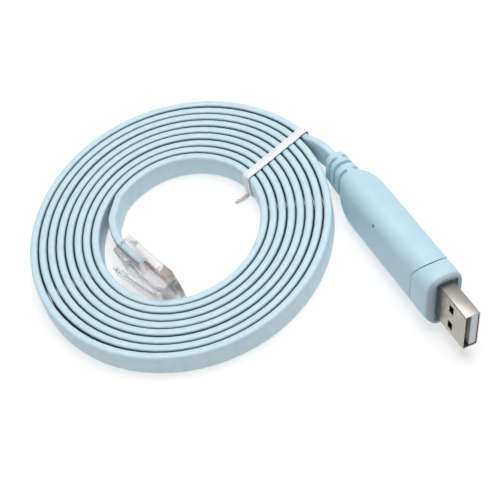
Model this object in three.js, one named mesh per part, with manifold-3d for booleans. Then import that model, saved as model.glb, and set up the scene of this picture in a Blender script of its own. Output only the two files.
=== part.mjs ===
// Console cable lying on the floor: a flat cable wound on edge, held by a twist tie,
// with a USB-A plug outside the coil and a clear 8-pin modular plug inside it.
// Units are millimetres, +Z is up, the floor is z = 0.
import * as THREE from 'three';
import { mergeVertices } from 'three/addons/utils/BufferGeometryUtils.js';
import Module from 'manifold-3d';

// Flat cable and coil
const CABLE_WIDTH = 7.5;
const CABLE_THICK = 2.4;
const TURN_GAP = 0.15;
const TURN_PITCH = CABLE_THICK + TURN_GAP;
const TURNS = 8;
const OUTER_TURN_RADIUS = 44.6;
const OVAL = 1.12;
const OVAL_ANGLE = 66;
const BULGE = 0.9;
const BULGE_ANGLE = 243;
const GROOVE = 0.8;
const COIL_X = -16.7;
const COIL_Y = 9.5;

// Twist tie
const TIE_ANGLE = 27;
const TIE_SKEW = 4;
const TIE_THICK = 0.45;
const TIE_WIDTH = 2.6;
const TIE_GAP = 0.3;
const TIE_TAIL = 4.6;

// USB plug, lengths measured backwards from the front face of the collar
const SHELL_WIDTH = 12;
const SHELL_THICK = 4.5;
const SHELL_WALL = 0.3;
const SHELL_LENGTH = 12;
const SHELL_CLEARANCE = 1;
const WINDOW_BACK = 6.3;
const GRIP_THICK = 11.2;
const GRIP_WIDTH = 17;
const GRIP_LENGTH = 49.3;
const SHOULDER_LENGTH = 8.3;
const COLLAR_LENGTH = 9.1;
const SEAM_ARCH = 2.8;
const SEAM_GAP = 0.35;
const RELIEF_LENGTH = 9.5;
const USB_YAW = -73.8;
const USB_PITCH = 2.6;
const USB_LEAN = 9.6;

// Modular plug, lengths measured forwards from its rear face
const PLUG_LENGTH = 21.5;
const PLUG_WIDTH = 11.7;
const PLUG_DEPTH = 6.4;
const PIN_PITCH = 1.02;
const WIRE_DIAMETER = 0.92;
const JACKET_IN_PLUG = 8.8;
const NOSE_CHAMFER = 1.6;
const LATCH_WIDTH = 6.2;
const LATCH_REACH = 3.2;
const SLOT_LENGTH = 7.6;
const BLADE_LENGTH = 3.4;
const BLADE_BACK = 3.2;
const PLUG_GAP = 0.25;
const PLUG_ALONG = 17;
const PLUG_YAW = -60.5;
const PLUG_LEAN = 8;

const rad = THREE.MathUtils.degToRad;
const wasm = await Module();
wasm.setup();

const BLUE = { color: 0x9cc3d6, roughness: 0.5, metalness: 0 };
const STEEL = { color: 0xb9b4ae, roughness: 0.3, metalness: 1 };
const GOLD = { color: 0xc9a24a, roughness: 0.3, metalness: 1 };
const CLEAR = { color: 0xe6ebee, roughness: 0.1, metalness: 0 };
const WHITE = { color: 0xeeecec, roughness: 0.5, metalness: 0 };
const WIRES = [0x3b6fb5, 0xd98a2b, 0x2d2d2f, 0xb23a35, 0x3f8f56, 0xd9c24a, 0x7a5236, 0x8e9298];

const part = new THREE.Group();
function add(name, geometry, look) {
  const mesh = new THREE.Mesh(geometry, new THREE.MeshStandardMaterial(look));
  mesh.name = name;
  part.add(mesh);
}

// Boolean bodies
function body(geometry) {
  const g = geometry.clone();
  g.deleteAttribute('normal');
  g.deleteAttribute('uv');
  const m = mergeVertices(g, 1e-5);
  return new wasm.Manifold(new wasm.Mesh({
    numProp: 3,
    vertProperties: Float32Array.from(m.attributes.position.array),
    triVerts: Uint32Array.from(m.index.array),
  }));
}
function shape(solid) {
  const mesh = solid.getMesh();
  const g = new THREE.BufferGeometry();
  g.setAttribute('position', new THREE.BufferAttribute(Float32Array.from(mesh.vertProperties), 3));
  g.setIndex(new THREE.BufferAttribute(Uint32Array.from(mesh.triVerts), 1));
  const flat = g.toNonIndexed();
  flat.computeVertexNormals();
  return flat;
}
function block(x0, x1, y0, y1, z0, z1) {
  const g = new THREE.BoxGeometry(x1 - x0, y1 - y0, z1 - z0);
  return g.translate((x0 + x1) / 2, (y0 + y1) / 2, (z0 + z1) / 2);
}

// A closed body through rings of equal point count, first and last ring capped
function skin(rings, closed) {
  const n = rings[0].length;
  const points = rings.flat().flatMap((p) => [p.x, p.y, p.z]);
  const faces = [];
  const spans = closed ? rings.length : rings.length - 1;
  for (let i = 0; i < spans; i++) {
    const a = i * n;
    const b = ((i + 1) % rings.length) * n;
    for (let j = 0; j < n; j++) {
      const k = (j + 1) % n;
      faces.push(a + j, b + j, b + k, a + j, b + k, a + k);
    }
  }
  if (!closed) {
    for (const [start, turn] of [[0, false], [(rings.length - 1) * n, true]]) {
      const middle = points.length / 3;
      const c = new THREE.Vector3();
      for (let j = 0; j < n; j++) c.add(rings[start / n][j]);
      c.multiplyScalar(1 / n);
      points.push(c.x, c.y, c.z);
      for (let j = 0; j < n; j++) {
        const k = (j + 1) % n;
        if (turn) faces.push(middle, start + k, start + j);
        else faces.push(middle, start + j, start + k);
      }
    }
  }
  const g = new THREE.BufferGeometry();
  g.setAttribute('position', new THREE.Float32BufferAttribute(points, 3));
  g.setIndex(faces);
  g.computeVertexNormals();
  return g;
}

// Rounded rectangle in the plane x = s, four corners of five points
function ring(s, halfY, halfZ, corner) {
  const points = [];
  for (const [sy, sz, start] of [[1, 1, 0], [-1, 1, 90], [-1, -1, 180], [1, -1, 270]]) {
    for (let i = 0; i < 5; i++) {
      const t = rad(start + i * 22.5);
      points.push(new THREE.Vector3(
        s,
        sy * (halfY - corner) + corner * Math.cos(t),
        sz * (halfZ - corner) + corner * Math.sin(t),
      ));
    }
  }
  return points;
}

// Centre line of the winding: radius at a winding angle that grows inwards turn by turn
function turnRadius(angle) {
  const turn = (angle - TIE_ANGLE) / 360;
  const away = ((angle - BULGE_ANGLE + 180) % 360 + 360) % 360 - 180;
  return OUTER_TURN_RADIUS + OVAL * Math.cos(rad(2 * (angle - OVAL_ANGLE))) - TURN_PITCH * turn
    + BULGE * Math.exp(-((away / 30) ** 2)) * (turn / TURNS) ** 2;
}
function lift(angle) {
  const away = ((angle - TIE_ANGLE + 180) % 360 + 360) % 360 - 180;
  return (TIE_THICK + TIE_GAP + 0.05) * Math.exp(-((away / 20) ** 2));
}
function onCoil(angle, radius, z) {
  return new THREE.Vector3(
    COIL_X + radius * Math.cos(rad(angle)), COIL_Y + radius * Math.sin(rad(angle)), z,
  );
}

// Coil: one ring with its bore, a groove between the turns on both ends
const tieHalf = THREE.MathUtils.radToDeg(TIE_WIDTH / 2 / OUTER_TURN_RADIUS) * 0.5;
const columns = [];
for (let i = 0; i <= 78; i++) {
  const angle = TIE_ANGLE + tieHalf + (360 - 2 * tieHalf) * i / 78;
  const top = [];
  for (let k = 0; k < TURNS; k++) {
    const r = turnRadius(angle + 360 * k);
    const next = turnRadius(angle + 360 * (k + 1));
    if (k === 0) top.push([r + CABLE_THICK / 2, CABLE_WIDTH / 2 - 0.6]);
    top.push([r + CABLE_THICK / 2 - 0.6, CABLE_WIDTH / 2], [r - CABLE_THICK / 2 + 0.6, CABLE_WIDTH / 2]);
    if (k < TURNS - 1) top.push([(r + next) / 2, CABLE_WIDTH / 2 - GROOVE]);
    else top.push([r - CABLE_THICK / 2, CABLE_WIDTH / 2 - 0.6]);
  }
  const middle = CABLE_WIDTH / 2 + lift(angle);
  columns.push([
    ...top.map(([r, z]) => onCoil(angle, r, middle + z)),
    ...top.slice().reverse().map(([r, z]) => onCoil(angle, r, middle - z)),
  ]);
}
add('cable_coil', skin(columns, true), BLUE);

// Twist tie: a flat ribbon looped round all the turns, its twisted tail in the bore
const tieOut = turnRadius(TIE_ANGLE) + CABLE_THICK / 2 + TIE_GAP + 0.2;
const tieIn = turnRadius(TIE_ANGLE + 360 * TURNS) - CABLE_THICK / 2 - TIE_GAP - 0.1;
const tieLow = lift(TIE_ANGLE) - TIE_GAP;
const tieHigh = lift(TIE_ANGLE) + CABLE_WIDTH + TIE_GAP;
function loop(grow) {
  const path = new THREE.Shape();
  const [x0, x1, y0, y1, c] = [tieIn - grow, tieOut + grow, tieLow - grow, tieHigh + grow, 0.8 + grow];
  path.moveTo(x0 + c, y0);
  path.lineTo(x1 - c, y0);
  path.absarc(x1 - c, y0 + c, c, -Math.PI / 2, 0);
  path.absarc(x1 - c, y1 - c, c, 0, Math.PI / 2);
  path.absarc(x0 + c, y1 - c, c, Math.PI / 2, Math.PI);
  path.absarc(x0 + c, y0 + c, c, Math.PI, Math.PI * 1.5);
  return path;
}
function ribbon(path) {
  const g = new THREE.ExtrudeGeometry(path, { depth: TIE_WIDTH, bevelEnabled: false, curveSegments: 4 });
  return g.translate(0, 0, -TIE_WIDTH / 2).rotateX(Math.PI / 2);
}
const tail = [];
for (let i = 0; i <= 6; i++) {
  const along = i / 6;
  tail.push(ring(0, 0.9, 0.45, 0.2).map((p) => p
    .applyAxisAngle(new THREE.Vector3(1, 0, 0), rad(90 + 150 * along))
    .add(new THREE.Vector3(tieIn + 0.1 - (TIE_TAIL + 0.5) * along, -0.6 * along, 1.9 - 0.3 * along))));
}
const tieSolid = body(ribbon(loop(TIE_THICK))).subtract(body(ribbon(loop(0)).scale(1, 1.2, 1)))
  .add(body(skin(tail.reverse(), false)));
const tieMiddle = (tieIn + tieOut) / 2;
add('twist_tie', shape(tieSolid).translate(-tieMiddle, 0, 0).rotateZ(rad(TIE_SKEW))
  .translate(tieMiddle, 0, 0).rotateZ(rad(TIE_ANGLE)).translate(COIL_X, COIL_Y, 0), WHITE);

// USB plug, built along local x towards its tip and then laid beside the coil
const start = onCoil(TIE_ANGLE, turnRadius(TIE_ANGLE), 0);
const u = new THREE.Vector3(
  Math.cos(rad(USB_YAW)) * Math.cos(rad(USB_PITCH)),
  Math.sin(rad(USB_YAW)) * Math.cos(rad(USB_PITCH)),
  Math.sin(rad(USB_PITCH)),
);
const side = new THREE.Vector3(-Math.sin(rad(USB_YAW)), Math.cos(rad(USB_YAW)), 0);
const v = side.clone().applyAxisAngle(u, rad(-USB_LEAN));
const w = new THREE.Vector3().crossVectors(u, v);
const gy = GRIP_THICK / 2;
const gz = GRIP_WIDTH / 2;
// An oval section of the moulding at the distance s behind the face, as a share of the full size
function oval(s, size, extra = 0) {
  return ring(-s, gy * size, gz * (size + extra), gy * size * 0.86);
}
// The seam between collar and grip runs further forward towards the narrow sides
function arched(s, size) {
  return oval(s, size).map((p) => p.setX(p.x + SEAM_ARCH * (p.z / gz) ** 2));
}
const shoulder = GRIP_LENGTH - SHOULDER_LENGTH;
const grip = [arched(COLLAR_LENGTH + SEAM_GAP, 0.985), arched(COLLAR_LENGTH + SEAM_GAP + 0.4, 1), oval(shoulder - 3, 1)];
for (const [along, size] of [[0, 0.985], [0.4, 0.925], [0.7, 0.83], [0.88, 0.74], [1, 0.66]]) {
  grip.push(oval(shoulder + SHOULDER_LENGTH * along, size));
}
for (const [along, size] of [[0.05, 0.62], [0.07, 0.5], [0.14, 0.5], [0.16, 0.61], [0.39, 0.59], [0.41, 0.49],
  [0.48, 0.49], [0.5, 0.58], [0.69, 0.565], [0.71, 0.475], [0.78, 0.475], [0.8, 0.56], [0.96, 0.55], [1, 0.51]]) {
  grip.push(oval(GRIP_LENGTH + RELIEF_LENGTH * along, size, 0.03));
}
const collarRings = [
  ring(0, gy - 0.75, gz - 0.5, 3.5),
  ring(-0.3, gy - 0.3, gz - 0.1, 4),
  oval(1.2, 1),
  arched(COLLAR_LENGTH - 0.4, 1),
  arched(COLLAR_LENGTH, 0.985),
];
// The plug lies with the lowest point of its moulding on the floor
const faceHeight = -Math.min(...[...grip, ...collarRings].flat()
  .map((p) => p.x * u.z + p.y * v.z + p.z * w.z));
const usbRear = start.clone().add(new THREE.Vector3(6.1, -13.9, 0));
const usbFace = usbRear.addScaledVector(u, GRIP_LENGTH + RELIEF_LENGTH).setZ(faceHeight);
const usbPlace = new THREE.Matrix4().makeBasis(u, v, w).setPosition(usbFace);
add('usb_grip', skin(grip, false).applyMatrix4(usbPlace), BLUE);

const POCKET = 1.4;
const pocketRing = (s) => ring(s, SHELL_THICK / 2 + SHELL_CLEARANCE, SHELL_WIDTH / 2 + SHELL_CLEARANCE, 1);
const pocket = body(skin([pocketRing(1), pocketRing(-POCKET)], false));
add('usb_collar', shape(body(skin(collarRings, false)).subtract(pocket)).applyMatrix4(usbPlace), BLUE);

const hy = SHELL_THICK / 2;
const hz = SHELL_WIDTH / 2;
let shell = body(skin([ring(SHELL_LENGTH, hy, hz, 0.5), ring(0.35 - POCKET, hy, hz, 0.5)], false))
  .subtract(body(skin([ring(SHELL_LENGTH + 1, hy - SHELL_WALL, hz - SHELL_WALL, 0.3),
    ring(-2, hy - SHELL_WALL, hz - SHELL_WALL, 0.3)], false)));
for (const z of [-2.9, 2.9]) {
  shell = shell.subtract(body(block(SHELL_LENGTH - WINDOW_BACK - 1, SHELL_LENGTH - WINDOW_BACK + 1,
    -hy - 1, hy + 1, z - 1.3, z + 1.3)));
}
add('usb_shell', shape(shell).applyMatrix4(usbPlace), STEEL);

add('usb_tongue', block(0.35 - POCKET, SHELL_LENGTH - 0.4, hy - SHELL_WALL - 0.2 - 1.9, hy - SHELL_WALL - 0.2,
  -hz + SHELL_WALL + 0.25, hz - SHELL_WALL - 0.25).applyMatrix4(usbPlace), WHITE);
const pinY = hy - SHELL_WALL - 0.2 - 1.9 - 0.12;
[-3.5, -1, 1, 3.5].forEach((z, i) => {
  add(`usb_contact_${i + 1}`, block(1.2, SHELL_LENGTH - 1.6, pinY - 0.25, pinY, z - 0.5, z + 0.5)
    .applyMatrix4(usbPlace), GOLD);
});

// Cable from the first turn into the strain relief of the USB plug
function flatTube(points, steps, up) {
  const curve = new THREE.CatmullRomCurve3(points, false, 'centripetal');
  const rings = [];
  for (let i = 0; i <= steps; i++) {
    const p = curve.getPointAt(i / steps);
    const along = curve.getTangentAt(i / steps);
    const tall = up(i / steps).addScaledVector(along, -along.dot(up(i / steps))).normalize();
    const across = new THREE.Vector3().crossVectors(tall, along);
    const [a, b, c] = [CABLE_THICK / 2, CABLE_WIDTH / 2, 0.6];
    rings.push([[a, b - c], [a - c, b], [c - a, b], [-a, b - c], [-a, c - b], [c - a, -b], [a - c, -b], [a, c - b]]
      .map(([x, y]) => p.clone().addScaledVector(across, x).addScaledVector(tall, y)));
  }
  return skin(rings.reverse(), false);
}
const middle = CABLE_WIDTH / 2;
const reliefEnd = new THREE.Vector3(-GRIP_LENGTH - RELIEF_LENGTH - 0.3, 0, 0).applyMatrix4(usbPlace);
const away = TIE_ANGLE - tieHalf * 1.6;
const usbLead = [
  onCoil(away, turnRadius(away) + 0.35, middle + lift(away)),
  start.clone().lerp(reliefEnd, 0.5).setZ(middle + 2.1).add(new THREE.Vector3(0.3, 0.15, 0)),
  reliefEnd.clone().addScaledVector(u, -3.5),
  reliefEnd,
];
add('cable_usb_lead', flatTube(usbLead, 8, (t) => new THREE.Vector3(0, 0, 1).lerp(w, t)), BLUE);

// Modular plug, built along local x towards its nose and then stood on its side in the bore
const nose = new THREE.Vector3(Math.cos(rad(PLUG_YAW)), Math.sin(rad(PLUG_YAW)), 0);
const pins = new THREE.Vector3(-nose.y, nose.x, 0).applyAxisAngle(nose, rad(PLUG_LEAN));
const tall = new THREE.Vector3().crossVectors(nose, pins);
const lastTurn = TIE_ANGLE + 360 * TURNS + 115;
const leave = onCoil(lastTurn, turnRadius(lastTurn), 0);
const plugHeight = PLUG_DEPTH / 2 * Math.sin(rad(PLUG_LEAN)) + PLUG_WIDTH / 2 * Math.cos(rad(PLUG_LEAN));
// The plug's nose comes up to the wall of the bore, PLUG_ALONG past the coil's axis
const wallAngle = 250 + 360 * (TURNS - 1);
const reach = turnRadius(wallAngle) - CABLE_THICK / 2 - PLUG_WIDTH / 2 * Math.sin(rad(PLUG_LEAN)) - PLUG_GAP;
const aside = Math.sqrt(reach ** 2 - PLUG_ALONG ** 2);
const plugRear = new THREE.Vector3(COIL_X, COIL_Y, plugHeight)
  .addScaledVector(nose, PLUG_ALONG - PLUG_LENGTH)
  .addScaledVector(new THREE.Vector3(-nose.y, nose.x, 0), PLUG_DEPTH / 2 - NOSE_CHAMFER - aside);
const plugPlace = new THREE.Matrix4().makeBasis(nose, pins, tall).setPosition(plugRear);

function profile(points, depth) {
  const g = new THREE.ExtrudeGeometry(new THREE.Shape(points.map(([x, y]) => new THREE.Vector2(x, y))),
    { depth, bevelEnabled: false });
  return body(g.translate(0, 0, -depth / 2));
}
const py = PLUG_DEPTH / 2;
const pz = PLUG_WIDTH / 2;
const pinZ = [0, 1, 2, 3, 4, 5, 6, 7].map((i) => (i - 3.5) * PIN_PITCH);
const L = PLUG_LENGTH;
let plug = profile([[0, 0.4 - py], [0, py], [L - 2.2, py], [L, py - 1], [L, NOSE_CHAMFER - py], [L - 2.6, -py],
  [0.4, -py]], PLUG_WIDTH);
const latch = profile([[L - 1.6, -py + 0.4], [L - 1.6, -py - 0.6], [L - 3, -py - 1.3], [2, -py - LATCH_REACH],
  [2, -py - LATCH_REACH + 1.1], [L - 4.2, -py - 0.5], [L - 3.6, -py + 0.4]], LATCH_WIDTH);
const tab = LATCH_WIDTH / 2 - 1;
plug = plug.add(latch.subtract(body(block(-1, 8, -10, 0, tab, LATCH_WIDTH)))
  .subtract(body(block(-1, 8, -10, 0, -LATCH_WIDTH, -tab))));
const jacketY = CABLE_THICK / 2 + 0.25;
const wireY = 0.55;
plug = plug.subtract(body(block(-1, JACKET_IN_PLUG + 0.4, -jacketY, jacketY,
  -CABLE_WIDTH / 2 - 0.25, CABLE_WIDTH / 2 + 0.25)));
plug = plug.subtract(body(block(JACKET_IN_PLUG, L - 1.4, wireY - WIRE_DIAMETER / 2 - 0.15,
  wireY + WIRE_DIAMETER / 2 + 0.15, -3.5 * PIN_PITCH - 0.75, 3.5 * PIN_PITCH + 0.75)));
plug = plug.subtract(body(block(5, 8.4, -py - 1, -jacketY - 0.3, -3, 3)));
for (const z of pinZ) plug = plug.subtract(body(block(L - SLOT_LENGTH, L + 1, wireY + 0.4, py + 1, z - 0.26, z + 0.26)));
add('rj45_body', shape(plug).applyMatrix4(plugPlace), CLEAR);
const bladeY = wireY + WIRE_DIAMETER / 2 + 0.25;
pinZ.forEach((z, i) => {
  add(`rj45_contact_${i + 1}`, block(L - BLADE_BACK - BLADE_LENGTH, L - BLADE_BACK, bladeY, py - 0.45,
    z - 0.15, z + 0.15)
    .applyMatrix4(plugPlace), GOLD);
});
pinZ.forEach((z, i) => {
  const wire = new THREE.CylinderGeometry(WIRE_DIAMETER / 2, WIRE_DIAMETER / 2, L - BLADE_BACK - 0.3 - JACKET_IN_PLUG - 0.3, 10);
  wire.rotateZ(Math.PI / 2).translate((L - BLADE_BACK + JACKET_IN_PLUG) / 2, wireY, z);
  add(`rj45_wire_${i + 1}`, wire.applyMatrix4(plugPlace),
    { color: WIRES[i], roughness: 0.5, metalness: 0 });
});
add('cable_rj45_end', skin([ring(0.1, CABLE_THICK / 2, CABLE_WIDTH / 2, 0.6),
  ring(JACKET_IN_PLUG, CABLE_THICK / 2, CABLE_WIDTH / 2, 0.6)].reverse(), false).applyMatrix4(plugPlace), BLUE);

// Cable of the innermost turn, curving away from the winding into the modular plug
const inner = [];
for (let a = tieHalf * 1.6; a < 110; a += 12) {
  const angle = TIE_ANGLE + 360 * TURNS + a;
  inner.push(onCoil(angle, turnRadius(angle), middle + lift(angle)));
}
const last = plugRear.clone().addScaledVector(nose, -0.4);
const from = leave.clone().setZ(middle + 0.1);
const sweep = new THREE.CubicBezierCurve3(from, from.clone().add(new THREE.Vector3(-1.4, -4.5, 0)),
  last.clone().addScaledVector(nose, -6), last);
inner.push(from, sweep.getPoint(0.3), sweep.getPoint(0.5), sweep.getPoint(0.72));
inner.push(last.clone().addScaledVector(nose, -1.4), last);
add('cable_rj45_lead', flatTube(inner, 40, (t) => new THREE.Vector3(0, 0, 1)
  .lerp(tall, THREE.MathUtils.smoothstep(t, 0.75, 1))), BLUE);

// The frame's origin is the middle of the whole object's outline, on the floor
const bounds = new THREE.Box3().setFromObject(part);
const origin = bounds.getCenter(new THREE.Vector3()).setZ(bounds.min.z);
for (const mesh of part.children) mesh.geometry.translate(-origin.x, -origin.y, -origin.z);

export default part;
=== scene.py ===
import math
import bmesh
import bpy
from mathutils import Matrix, Vector


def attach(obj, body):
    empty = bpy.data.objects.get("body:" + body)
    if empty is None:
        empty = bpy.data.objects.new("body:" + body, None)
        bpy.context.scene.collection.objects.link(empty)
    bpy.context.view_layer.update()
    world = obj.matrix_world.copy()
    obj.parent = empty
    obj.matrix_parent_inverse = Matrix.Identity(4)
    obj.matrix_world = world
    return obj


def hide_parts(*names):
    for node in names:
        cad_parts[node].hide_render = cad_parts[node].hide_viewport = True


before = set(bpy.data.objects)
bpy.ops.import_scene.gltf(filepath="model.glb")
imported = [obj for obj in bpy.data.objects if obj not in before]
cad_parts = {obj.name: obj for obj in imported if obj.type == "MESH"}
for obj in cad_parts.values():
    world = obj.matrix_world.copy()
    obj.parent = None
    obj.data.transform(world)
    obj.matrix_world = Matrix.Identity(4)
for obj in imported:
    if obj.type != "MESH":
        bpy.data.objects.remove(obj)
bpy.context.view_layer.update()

# Camera: a long lens looking down at the coil at about 52 degrees, tilted a little
# to its own right as the photograph is. Right, up and back are the camera's own axes.
elevation = math.radians(51.7)
tilt = math.radians(-14.7)
distance = 0.421
aim = Vector((0.00431, -0.00129, 0.0))
back = Vector((0, -math.cos(elevation), math.sin(elevation)))
level_right = Vector((1, 0, 0))
level_up = Vector((0, math.sin(elevation), math.cos(elevation)))
right = math.cos(tilt) * level_right + math.sin(tilt) * level_up
up = -math.sin(tilt) * level_right + math.cos(tilt) * level_up
camera_axes = Matrix((right, up, back)).transposed().to_4x4()
camera = bpy.data.objects.new("camera", bpy.data.cameras.new("camera"))
camera.data.lens = 108
camera.data.sensor_width = 36
camera.data.clip_start = 0.01
camera.matrix_world = Matrix.Translation(aim + distance * back) @ camera_axes
bpy.context.collection.objects.link(camera)
bpy.context.scene.camera = camera

# Flat cable: eight cores side by side in a light blue soft jacket, about 1.8 m long.
# It is wound on its edge in eight and a third turns; the outer end runs into the
# USB plug and the inner end leaves the last turn and runs into the modular plug.
mm = 0.001
cable_width, cable_thick, cable_corner = 7.5, 2.3, 0.75
outer_radius, turn_pitch, turns, turn_step = 44.6, 2.55, 8, 5
oval_amount, oval_angle = 1.12, 66
plug_bulge, plug_bulge_angle, plug_bulge_spread = 0.9, 243, 30
slack_bulge, slack_bulge_angle, slack_bulge_spread = 0.25, 222, 26
side_wander, height_wander = 0.05, 0.16
tie_angle, tie_lift, tie_lift_spread, tie_hold = 27, 0.8, 20, 40
leave_angle = 115
relief_end = 58.8
coil_middle = Vector((-12.39, 8.21, 0.01))
usb_place = (Matrix.Translation((50.05, -41.74, 10.25)) @ Matrix.Rotation(math.radians(-73.8), 4, "Z")
             @ Matrix.Rotation(math.radians(-2.6), 4, "Y") @ Matrix.Rotation(math.radians(-9.6), 4, "X"))
plug_place = (Matrix.Translation((-28.94, 4.0, 6.25)) @ Matrix.Rotation(math.radians(-60.5), 4, "Z")
              @ Matrix.Rotation(math.radians(8), 4, "X"))


def around(angle, centre):
    return (angle - centre + 180) % 360 - 180


def swell(angle, centre, spread):
    return math.exp(-(around(angle, centre) / spread) ** 2)


def ease(value, low, high):
    t = min(1, max(0, (value - low) / (high - low)))
    return t * t * (3 - 2 * t)


def winding(angle):
    turn = (angle - tie_angle) / 360
    radius = outer_radius + oval_amount * math.cos(math.radians(2 * (angle - oval_angle))) - turn_pitch * turn
    radius += plug_bulge * swell(angle, plug_bulge_angle, plug_bulge_spread) * (turn / turns) ** 2
    radius += slack_bulge * swell(angle, slack_bulge_angle, slack_bulge_spread) * max(0, 1 - turn) ** 0.5
    slack = min(1, abs(around(angle, tie_angle)) / tie_hold)
    radius += side_wander * slack * math.sin(math.radians(angle * 2.3)) * math.sin(math.radians(angle * 0.41))
    height = cable_width / 2 + tie_lift * swell(angle, tie_angle, tie_lift_spread)
    height += height_wander * slack * (1 + math.sin(math.radians(angle * 1.37 + 40))) / 2
    x, y = radius * math.cos(math.radians(angle)), radius * math.sin(math.radians(angle))
    return coil_middle + Vector((x, y, height))


def through(points, steps):
    points = [2 * points[0] - points[1]] + points + [2 * points[-1] - points[-2]]
    line = []
    for a, b, c, d in zip(points, points[1:], points[2:], points[3:]):
        square, cube = 2 * a - 5 * b + 4 * c - d, 3 * b - a - 3 * c + d
        for i in range(steps):
            t = i / steps
            line.append(0.5 * (2 * b + (c - a) * t + square * t ** 2 + cube * t ** 3))
    return line + [points[-2]]


def rounded(x, half_y, half_z, corner, arc=6):
    ring = []
    for sy, sz, start in ((1, 1, 0), (-1, 1, 90), (-1, -1, 180), (1, -1, 270)):
        for i in range(arc + 1):
            t = math.radians(start + i * 90 / arc)
            y = sy * (half_y - corner) + corner * math.cos(t)
            z = sz * (half_z - corner) + corner * math.sin(t)
            ring.append(Vector((x, y, z)))
    return ring


def sides(loop):
    return list(zip(loop, loop[1:] + loop[:1]))


def loft(bm, rings, place=Matrix(), caps=True):
    rings = [[place @ p * mm for p in ring] for ring in rings]
    loop = [bm.verts.new(p) for p in rings[0]]
    for side in sides(loop):
        bm.edges.new(side)
    loops = [loop]
    for ring in rings[1:]:
        spot = {v: i for i, v in enumerate(loop)}
        made = bmesh.ops.extrude_edge_only(bm, edges=[bm.edges.get(side) for side in sides(loop)])
        fresh = [None] * len(loop)
        for v in made["geom"]:
            if isinstance(v, bmesh.types.BMVert):
                old = next(e.other_vert(v) for e in v.link_edges if e.other_vert(v) in spot)
                fresh[spot[old]] = v
        for v, p in zip(fresh, ring):
            v.co = p
        loop = fresh
        loops.append(loop)
    ends = [bm.edges.get(side) for end in (loops[0], loops[-1]) for side in sides(end)]
    if caps:
        bmesh.ops.holes_fill(bm, edges=ends)
    else:
        bmesh.ops.bridge_loops(bm, edges=ends)
    return loops


def finish_piece(name, bm, angle=40, replaced=()):
    bmesh.ops.recalc_face_normals(bm, faces=bm.faces)
    mesh = bpy.data.meshes.new(name)
    bm.to_mesh(mesh)
    bm.free()
    piece = bpy.data.objects.new(name, mesh)
    bpy.context.collection.objects.link(piece)
    mesh.shade_smooth()
    mesh.set_sharp_from_angle(angle=math.radians(angle))
    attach(piece, "root")
    if replaced:
        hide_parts(*replaced)
    return piece


def material(name, color, roughness, metallic=0.0):
    made = bpy.data.materials.new(name)
    made.use_nodes = True
    shader = made.node_tree.nodes["Principled BSDF"]
    shader.inputs["Base Color"].default_value = (*color, 1)
    shader.inputs["Roughness"].default_value = roughness
    shader.inputs["Metallic"].default_value = metallic
    return made, made.node_tree.nodes, made.node_tree.links, shader


def mottled(nodes, links, shader, low, high, scale):
    where = nodes.new("ShaderNodeTexCoord").outputs["Object"]
    noise = nodes.new("ShaderNodeTexNoise")
    noise.inputs["Scale"].default_value = scale
    noise.inputs["Detail"].default_value = 4
    ramp = nodes.new("ShaderNodeValToRGB")
    ramp.color_ramp.elements[0].position, ramp.color_ramp.elements[1].position = 0.3, 0.7
    ramp.color_ramp.elements[0].color, ramp.color_ramp.elements[1].color = (*low, 1), (*high, 1)
    links.new(where, noise.inputs["Vector"])
    links.new(noise.outputs["Fac"], ramp.inputs["Fac"])
    links.new(ramp.outputs["Color"], shader.inputs["Base Color"])
    return where, ramp.outputs["Color"]


def grained(nodes, links, shader, where, scale, strength, distance, low, high):
    grain = nodes.new("ShaderNodeTexNoise")
    grain.inputs["Scale"].default_value = scale
    grain.inputs["Detail"].default_value = 6
    bump = nodes.new("ShaderNodeBump")
    bump.inputs["Strength"].default_value = strength
    bump.inputs["Distance"].default_value = distance
    spread = nodes.new("ShaderNodeMapRange")
    spread.inputs["To Min"].default_value, spread.inputs["To Max"].default_value = low, high
    links.new(where, grain.inputs["Vector"])
    links.new(grain.outputs["Fac"], bump.inputs["Height"])
    links.new(bump.outputs["Normal"], shader.inputs["Normal"])
    links.new(grain.outputs["Fac"], spread.inputs["Value"])
    links.new(spread.outputs["Result"], shader.inputs["Roughness"])


# Mixes a surface's colour towards a dark colour by a mask; every use here paints shade into the colour.
def mix_in_painted_shade(nodes, links, shader, light, amount, dark):
    shade = nodes.new("ShaderNodeMix")
    shade.data_type = "RGBA"
    shade.inputs["B"].default_value = (*dark, 1)
    links.new(amount, shade.inputs["Factor"])
    links.new(light, shade.inputs["A"])
    links.new(shade.outputs["Result"], shader.inputs["Base Color"])
    return shade.outputs["Result"]


lead_out = [usb_place @ Vector((x, 0, 0)) for x in (-57.0, -59.1, -62.3)]
start_angle = tie_angle - 2
outer_start = winding(start_angle)
lead_out += [lead_out[2].lerp(outer_start, 0.5) + Vector((0.25, 0.2, 0.3)), outer_start]
leave = winding(tie_angle + 360 * turns + leave_angle)
plug_end = plug_place @ Vector((-0.4, 0, 0))
plug_heading = plug_place.to_3x3() @ Vector((1, 0, 0))
pull, push = leave + Vector((-1.4, -4.5, 0.1)), plug_end - 6 * plug_heading
lead_in = []
for t in (0.3, 0.5, 0.72):
    near, far = (1 - t) ** 3 * leave + 3 * t * (1 - t) ** 2 * pull, 3 * t * t * (1 - t) * push
    lead_in.append(near + far + t ** 3 * plug_end)
lead_in += [plug_place @ Vector((x, 0, 0)) for x in (-1.6, 0.2, 4.5, 8.8)]
angles = [start_angle + i * turn_step for i in range(int((turns * 360 + leave_angle - 3) / turn_step) + 1)]
head = through(lead_out, 4)[:-1]
cable_line = head + [winding(a) for a in angles] + through([winding(angles[-1])] + lead_in, 5)[1:]
usb_tall = usb_place.to_3x3() @ Vector((0, 0, 1))
plug_tall = plug_place.to_3x3() @ Vector((0, 0, 1))
section = rounded(0, cable_thick / 2, cable_width / 2, cable_corner, 4)
rings = []
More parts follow.
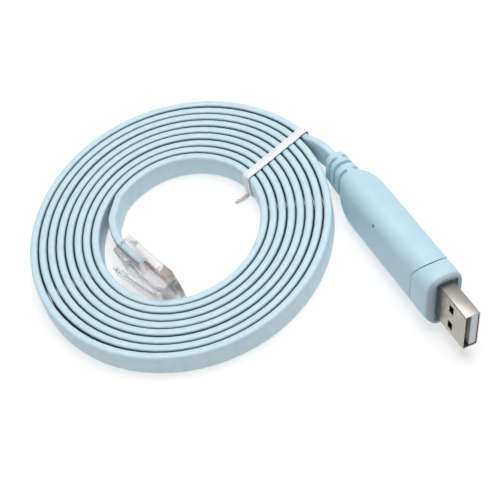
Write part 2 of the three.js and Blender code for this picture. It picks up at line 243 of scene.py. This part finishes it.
for i, p in enumerate(cable_line):
    along = (cable_line[min(i + 1, len(cable_line) - 1)] - cable_line[max(i - 1, 0)]).normalized()
    near_usb, near_plug = max(0, 1 - i / 20), max(0, 1 - (len(cable_line) - 1 - i) / 30)
    tall = Vector((0, 0, 1)).lerp(usb_tall, min(1, near_usb * 1.3)).lerp(plug_tall, min(1, near_plug * 1.6))
    tall = (tall - along * along.dot(tall)).normalized()
    across = along.cross(tall)
    rings.append([p + across * q.y + tall * q.z for q in section])
# Painted shade between turns: jacket side faces that face a neighbouring turn are mixed towards near-black blue,
# more so deeper down the gap, in place of the shade that falls in the narrow gaps.
gap_shade_strength, gap_top, gap_fade = 0.9, 0.1, 0.42
bm = bmesh.new()
gap_shade_layer = bm.verts.layers.float.new("painted_gap_shade")
for i, loop in enumerate(loft(bm, rings)):
    turn = (start_angle + (i - len(head)) * turn_step - tie_angle) / 360
    outer = ease(turn, 0.96, 1)
    inner = ease(turn, -0.02, 0) * (1 - ease(turn, turns - 0.72, turns - 0.66))
    for q, v in zip(section, loop):
        depth = min(1, max(0, (cable_width / 2 - q.z - gap_top) / gap_fade))
        v[gap_shade_layer] = (outer if q.y > 0 else inner) * gap_shade_strength * depth
cable_nodes = ("cable_coil", "cable_usb_lead", "cable_rj45_lead", "cable_rj45_end")
cable = finish_piece("flat_cable", bm, 60, cable_nodes)
jacket, nodes, links, shader = material("cable_jacket_blue", (0.52, 0.69, 0.77), 0.5)
where, tone = mottled(nodes, links, shader, (0.50, 0.665, 0.75), (0.56, 0.725, 0.80), 480)
grained(nodes, links, shader, where, 2600, 0.15, 0.00006, 0.42, 0.58)
# This attribute carries the painted gap shade into the jacket's colour.
gap_shade = nodes.new("ShaderNodeAttribute")
gap_shade.attribute_name = "painted_gap_shade"
mix_in_painted_shade(nodes, links, shader, tone, gap_shade.outputs["Fac"], (0.022, 0.048, 0.064))
cable.data.materials.append(jacket)

# Twist tie: a flat white ribbon with a thin wire down its middle, looped once round
# all the turns and twisted shut in the bore, its short tail standing off the winding.
# The tail gets a greyer copy of the white as painted shade.
tie_in, tie_out, tie_low, tie_high, tie_bend = 22.75, 46.35, 0.35, 8.7, 0.8
tie_middle, tie_half_height, tie_skew = 34.6, 4, 4
tail_length, tail_twist, tail_lift = 4.7, 620, 0.84
tie_place = (Matrix.Translation(coil_middle) @ Matrix.Rotation(math.radians(tie_angle), 4, "Z")
             @ Matrix.Translation((tie_middle, 0, 0)) @ Matrix.Rotation(math.radians(tie_skew), 4, "Z")
             @ Matrix.Translation((-tie_middle, 0, 0)))
band = [(-1.25, 0.02), (-1.25, 0.2), (-0.5, 0.22), (-0.25, 0.36),
        (0.25, 0.36), (0.5, 0.22), (1.25, 0.2), (1.25, 0.02)]


def set_in(value, centre):
    return value - math.copysign(tie_bend, value - centre)


rings = []
corners = ((tie_out, tie_high, 90, 0), (tie_out, tie_low, 0, -90),
           (tie_in, tie_low, -90, -180), (tie_in, tie_high, 180, 90))
for k, (x, z, first, last) in enumerate(corners):
    middle_x, middle_z = set_in(x, tie_middle), set_in(z, tie_half_height)
    for i in range(7):
        t = math.radians(first + (last - first) * i / 6)
        out = Vector((math.cos(t), 0, math.sin(t)))
        rings.append([Vector((middle_x, y, middle_z)) + out * (tie_bend + n) for y, n in band])
    next_x = set_in(corners[(k + 1) % 4][0], tie_middle)
    if k in (1, 3):
        for i in range(1, 24):
            x2 = middle_x + (next_x - middle_x) * i / 24
            dent = 0.07 * math.sin(x2 * 2 * math.pi / turn_pitch) + 0.05 * math.sin(x2 * 0.9)
            edge = 0.06 * math.sin(x2 * 1.3 + 1) + 0.04 * math.sin(x2 * 3.1)
            rings.append([Vector((x2, y + edge, z + out.z * (n + dent))) for y, n in band])
bm = bmesh.new()
loft(bm, rings, tie_place, caps=False)
rings = []
for i in range(31):
    t = i / 30
    swing = Matrix.Rotation(math.radians(90 + tail_twist * t), 3, "X")
    centre = Vector((tie_in - tail_length * t, tail_lift * t + 0.1 * math.sin(9 * t), 0.95 - 0.15 * t))
    rings.append([swing @ p + centre for p in rounded(0, 0.66 - 0.12 * t, 0.36, 0.25, 3)])
ribbon_faces = len(bm.faces)
loft(bm, rings, tie_place)
bm.faces.ensure_lookup_table()
# The tail's faces take the second material, a greyed white that paints shade on the tail.
for face in bm.faces[ribbon_faces:]:
    face.material_index = 1
tie = finish_piece("tie_ribbon", bm, 50, ("twist_tie",))
tie_white, nodes, links, shader = material("tie_white", (0.75, 0.78, 0.80), 0.4)
where, tone = mottled(nodes, links, shader, (0.71, 0.745, 0.77), (0.79, 0.81, 0.83), 500)
grained(nodes, links, shader, where, 3000, 0.2, 0.00005, 0.35, 0.5)
tie.data.materials.append(tie_white)
# Painted shade: a grey copy of the tie's white, for the twisted tail.
tie_tail_shade, nodes, links, shader = material("tie_tail_shaded_white", (0.56, 0.53, 0.53), 0.45)
where, tone = mottled(nodes, links, shader, (0.52, 0.49, 0.49), (0.62, 0.59, 0.59), 700)
grained(nodes, links, shader, where, 3000, 0.2, 0.00005, 0.4, 0.55)
tie.data.materials.append(tie_tail_shade)

# USB plug grip and collar: two soft mouldings, oval in section, that meet at an arched
# seam. The neck tapers into a strain relief with staggered slots; the collar's face has
# a pocket round the shell. The collar's front face is darkened as painted shade, and a pinhole
# on the near broad side of the grip is painted as a dark spot of shade.
half_y, half_z, seam, seam_arch, neck_length = 5.6, 8.5, 9.1, 2.8, 8.3
face_round = 3
pinhole_place = Vector((-28.3, -half_y + 0.1, 4.9))
relief_slots = ((49.8, 0.95, 0.625, 0.3, True), (52.9, 1.15, 0.605, 0.24, False), (55.8, 0.95, 0.585, 0.3, True))


def oval(s, size, extra=0.0):
    return rounded(-s, half_y * size, half_z * (size + extra), half_y * size * 0.88, 10)


def arched(s, size):
    ring = oval(s, size)
    for p in ring:
        p.x += seam_arch * (p.z / half_z) ** 2
    return ring


def slotted(s, size, depth, faces):
    ring = []
    for p in oval(s, size, 0.03):
        high = abs(p.z) / (half_z * (size + 0.03))
        cut = 1 - ease(high, 0.95, 0.99) if faces else 1 - ease(-p.z / half_z / size, 0.45, 0.62)
        ring.append(Vector((p.x, p.y * (1 - depth * cut), p.z * (1 - depth * cut))))
    return ring


rings = [arched(seam + 0.22, 0.98), arched(seam + 0.3, 0.993), arched(seam + 0.5, 1)]
rings += [oval(s, 1) for s in (16, 22, 28, 33, 38)] + [oval(39.8, 0.995)]
for t in (0, 0.12, 0.24, 0.36, 0.48, 0.6, 0.7, 0.8, 0.88, 0.94, 1):
    rings.append(oval(41 + neck_length * t, 0.985 - 0.325 * t ** 1.9))
for start, width, size, depth, faces in relief_slots:
    steps = ((-0.12, 0), (0.0, 0.12), (0.06, 1), (width - 0.06, 1), (width, 0.12), (width + 0.12, 0))
    for step, part_depth in steps:
        rings.append(slotted(start + step, size - 0.012 * step, depth * part_depth, faces))
rings += [oval(58.2, 0.565, 0.03), oval(58.6, 0.55, 0.03), oval(relief_end, 0.5, 0.03)]
bm = bmesh.new()
loft(bm, rings, usb_place)
grip = finish_piece("grip_moulding", bm, 45, ("usb_grip",))
bm = bmesh.new()
# Painted shade mask: 1 on the collar's front face, 0 back along its sides.
front_shade_layer = bm.verts.layers.float.new("front_face_shade")
rings = [rounded(-x, 3.25, 7.05, 1.0, 10) for x in (1.4, 0.25)] + [rounded(-0.06, 3.3, 7.1, 1.05, 10)]
for i in range(9):
    t = math.radians(90 - i * 90 / 8)
    inset = 1 - math.cos(t)
    wide, high, corner = half_y - 1.7 * inset, half_z + 0.15 - 0.8 * inset, 4.93 - 2.6 * inset
    rings.append(rounded(-face_round * (1 - math.sin(t)), wide, high, corner, 10))
rings += [arched(seam - 0.25, 1), arched(seam - 0.08, 0.993), arched(seam, 0.98)]
for ring, loop in zip(rings, loft(bm, rings, usb_place)):
    for p, v in zip(ring, loop):
        v[front_shade_layer] = ease(p.x, -1.6, -0.7)
collar = finish_piece("collar_moulding", bm, 50, ("usb_collar",))
grip_blue, nodes, links, shader = material("grip_blue", (0.47, 0.66, 0.76), 0.5)
where, tone = mottled(nodes, links, shader, (0.45, 0.64, 0.74), (0.49, 0.68, 0.775), 180)
grained(nodes, links, shader, where, 2200, 0.2, 0.00008, 0.42, 0.56)
# Painted shade: a small spot round the pinhole is mixed towards near-black, in place of the shade inside the
# unmodelled hole.
apart = nodes.new("ShaderNodeVectorMath")
apart.operation = "DISTANCE"
apart.inputs[1].default_value = tuple(usb_place @ pinhole_place * mm)
links.new(where, apart.inputs[0])
pinhole = nodes.new("ShaderNodeMapRange")
pinhole.inputs["From Min"].default_value, pinhole.inputs["From Max"].default_value = 0.00035, 0.00055
pinhole.inputs["To Min"].default_value, pinhole.inputs["To Max"].default_value = 0.85, 0.0
links.new(apart.outputs["Value"], pinhole.inputs["Value"])
tone_with_pinhole_shade = mix_in_painted_shade(nodes, links, shader, tone, pinhole.outputs["Result"], (0.03, 0.05, 0.06))
# Painted shade: the collar's front face is mixed towards a darker blue-grey where little light falls.
front = nodes.new("ShaderNodeAttribute")
front.attribute_name = "front_face_shade"
mix_in_painted_shade(nodes, links, shader, tone_with_pinhole_shade, front.outputs["Fac"], (0.30, 0.37, 0.43))
grip.data.materials.append(grip_blue)
collar.data.materials.append(grip_blue)

# USB shell: folded plated steel, with painted shade inside, with two windows in each broad side and
# two pressed dimples near the collar. It is the CAD shell with its folds rounded.
shell_length, fold_round = 12, 0.07
inner_half_y, inner_half_z = 2.1, 5.8
dimple_radius, dimple_flat = 0.42, 0.3


def merged(name, offset):
    bm = bmesh.new()
    bm.from_mesh(bpy.data.objects[name].data)
    bm.transform(bpy.data.objects[name].matrix_world)
    bmesh.ops.remove_doubles(bm, verts=bm.verts, dist=2e-6)
    bmesh.ops.dissolve_limit(bm, angle_limit=math.radians(1), verts=bm.verts, edges=bm.edges)
    folds = [e for e in bm.edges if len(e.link_faces) == 2 and e.calc_face_angle() > math.radians(35)]
    bmesh.ops.bevel(bm, geom=folds, offset=offset * mm, offset_type="OFFSET", segments=2, profile=0.5,
                    affect="EDGES", clamp_overlap=True, material=-1)
    return bm


bm = merged("usb_shell", fold_round)
to_usb = usb_place.inverted()
# Painted shade: faces inside the shell get the second, near-black copy of the steel, in place of the shade
# within the shell.
for face in bm.faces:
    middle = to_usb @ (face.calc_center_median() / mm)
    away = to_usb.to_3x3() @ face.normal
    broad = middle.y * away.y < 0 and abs(away.y) > 0.7 and abs(middle.x - shell_length / 2) < 5.95
    narrow = middle.z * away.z < 0 and abs(away.z) > 0.7
    within = abs(middle.y) < inner_half_y and abs(middle.z) < inner_half_z and middle.x < 11.8
    if (broad or narrow) and within:
        face.material_index = 1
for z in (1.2, -4.7):
    spot = usb_place @ Matrix.Translation((1.6, -2.25, z)) @ Matrix.Diagonal((1, dimple_flat, 1, 1))
    spot.translation *= mm
    bmesh.ops.create_uvsphere(bm, u_segments=20, v_segments=10, radius=dimple_radius * mm, matrix=spot)
shell = finish_piece("shell_steel", bm, 35, ("usb_shell",))
steel, nodes, links, shader = material("plated_steel", (0.48, 0.45, 0.41), 0.4, 1.0)
where, tone = mottled(nodes, links, shader, (0.43, 0.41, 0.38), (0.51, 0.48, 0.44), 300)
grained(nodes, links, shader, where, 1500, 0.1, 0.00004, 0.36, 0.5)
shell.data.materials.append(steel)
# A dark copy of the plated steel, used as painted shade on the shell's inside faces.
shadow_steel, nodes, links, shader = material("shaded_inner_steel", (0.08, 0.08, 0.08), 0.5, 0.6)
where, tone = mottled(nodes, links, shader, (0.06, 0.06, 0.06), (0.10, 0.10, 0.095), 300)
grained(nodes, links, shader, where, 1500, 0.1, 0.00004, 0.4, 0.6)
shell.data.materials.append(shadow_steel)

# USB tongue and contacts: a white moulded tongue lying against one broad side of the
# shell, with four gold-plated contacts let into the face that looks into the opening.
tongue_half_y, tongue_half_z, tongue_aside = 1.06, 5.64, 0.87
tongue_rings = ((-1, 0.1), (-0.9, 0), (11.65, 0), (11.75, 0.1))


def dress(name, made):
    bpy.data.objects[name].data.materials.clear()
    bpy.data.objects[name].data.materials.append(made)


bm = bmesh.new()
rings = [rounded(x, tongue_half_y - inset, tongue_half_z - inset, 0.2, 3) for x, inset in tongue_rings]
loft(bm, rings, usb_place @ Matrix.Translation((0, tongue_aside, 0)))
tongue = finish_piece("tongue_moulding", bm, 35, ("usb_tongue",))
tongue_white, nodes, links, shader = material("tongue_white", (0.62, 0.66, 0.69), 0.45)
where, tone = mottled(nodes, links, shader, (0.59, 0.63, 0.66), (0.66, 0.69, 0.72), 300)
grained(nodes, links, shader, where, 1800, 0.15, 0.00005, 0.4, 0.55)
tongue.data.materials.append(tongue_white)
gold, nodes, links, shader = material("contact_gold", (0.83, 0.58, 0.25), 0.25, 1.0)
where, tone = mottled(nodes, links, shader, (0.78, 0.53, 0.21), (0.87, 0.63, 0.30), 700)
grained(nodes, links, shader, where, 2400, 0.1, 0.00003, 0.2, 0.32)
for i in range(1, 5):
    dress(f"usb_contact_{i}", gold)

# Modular plug: clear hard plastic with its latch, eight gold blades in its slots, and
# the cable's eight insulated wires laid flat from the end of the jacket to the blades.
edge_round = 0.08
wire_radius, wire_length, wire_pitch, wire_aside, wire_middle = 0.46, 9.1, 1.02, 0.55, 13.7
wires = (("grey", (0.27, 0.29, 0.31)), ("blue", (0.06, 0.16, 0.42)), ("orange", (0.62, 0.27, 0.08)),
         ("black", (0.05, 0.05, 0.05)), ("red", (0.50, 0.09, 0.07)), ("green", (0.12, 0.32, 0.16)),
         ("yellow", (0.74, 0.62, 0.32)), ("brown", (0.22, 0.09, 0.06)))
clear_body = finish_piece("clear_housing", merged("rj45_body", edge_round), 35, ("rj45_body",))
clear, nodes, links, shader = material("clear_plastic", (0.92, 0.90, 0.93), 0.08)
shader.inputs["IOR"].default_value = 1.45
shader.inputs["Transmission Weight"].default_value = 0.95
shader.inputs["Alpha"].default_value = 0.8
where, tone = mottled(nodes, links, shader, (0.95, 0.94, 0.96), (0.99, 0.98, 0.99), 200)
grained(nodes, links, shader, where, 900, 0.1, 0.00003, 0.05, 0.14)
clear_body.data.materials.append(clear)
blade_gold, nodes, links, shader = material("blade_gold", (0.46, 0.31, 0.17), 0.35, 1.0)
where, tone = mottled(nodes, links, shader, (0.40, 0.27, 0.15), (0.52, 0.36, 0.20), 700)
grained(nodes, links, shader, where, 2400, 0.1, 0.00003, 0.3, 0.42)
for i in range(1, 9):
    dress(f"rj45_contact_{i}", blade_gold)
for i, (wire_name, color) in enumerate(wires):
    bm = bmesh.new()
    spot = plug_place @ Matrix.Translation((wire_middle, wire_aside, (i - 3.5) * wire_pitch))
    spot = spot @ Matrix.Rotation(math.radians(90), 4, "Y")
    spot.translation *= mm
    bmesh.ops.create_cone(bm, cap_ends=True, segments=24, radius1=wire_radius * mm, radius2=wire_radius * mm,
                          depth=wire_length * mm, matrix=spot)
    wire = finish_piece(f"wire_{i + 1}", bm, 40, (f"rj45_wire_{i + 1}",))
    insulation, nodes, links, shader = material(f"wire_insulation_{i + 1}", color, 0.4)
    darker, lighter = [c * 0.9 for c in color], [min(1, c * 1.1) for c in color]
    where, tone = mottled(nodes, links, shader, darker, lighter, 500)
    grained(nodes, links, shader, where, 2000, 0.1, 0.00003, 0.3, 0.45)
    wire.data.materials.append(insulation)

# Studio: a pale floor that gives off a little light of its own, a pale sky, and two
# large soft lamps, the stronger one nearly overhead.
lamps = (("key", (0.15, 0.12, 0.88), 0.7, 7.8), ("fill", (-0.45, -0.1, 0.85), 0.9, 0.8))
bm = bmesh.new()
bmesh.ops.create_grid(bm, x_segments=2, y_segments=2, size=3)
floor_mesh = bpy.data.meshes.new("floor")
bm.to_mesh(floor_mesh)
bm.free()
floor = bpy.data.objects.new("floor", floor_mesh)
bpy.context.collection.objects.link(floor)
paper, nodes, links, shader = material("floor_paper", (0.42, 0.42, 0.42), 0.8)
shader.inputs["Emission Color"].default_value = (1, 1, 1, 1)
shader.inputs["Emission Strength"].default_value = 0.58
floor_mesh.materials.append(paper)
world = bpy.data.worlds.new("studio")
world.use_nodes = True
world.node_tree.nodes["Background"].inputs["Color"].default_value = (1, 1, 1, 1)
world.node_tree.nodes["Background"].inputs["Strength"].default_value = 0.3
bpy.context.scene.world = world
for name, spot, size, watts in lamps:
    lamp = bpy.data.lights.new(name, "AREA")
    lamp.size = size
    lamp.energy = watts
    light = bpy.data.objects.new(name, lamp)
    facing_in = Vector(spot).to_track_quat("Z", "Y").to_matrix().to_4x4()
    light.matrix_world = Matrix.Translation(spot) @ facing_in
    bpy.context.collection.objects.link(light)
bpy.context.scene.view_settings.view_transform = "Standard"

bpy.context.view_layer.update()
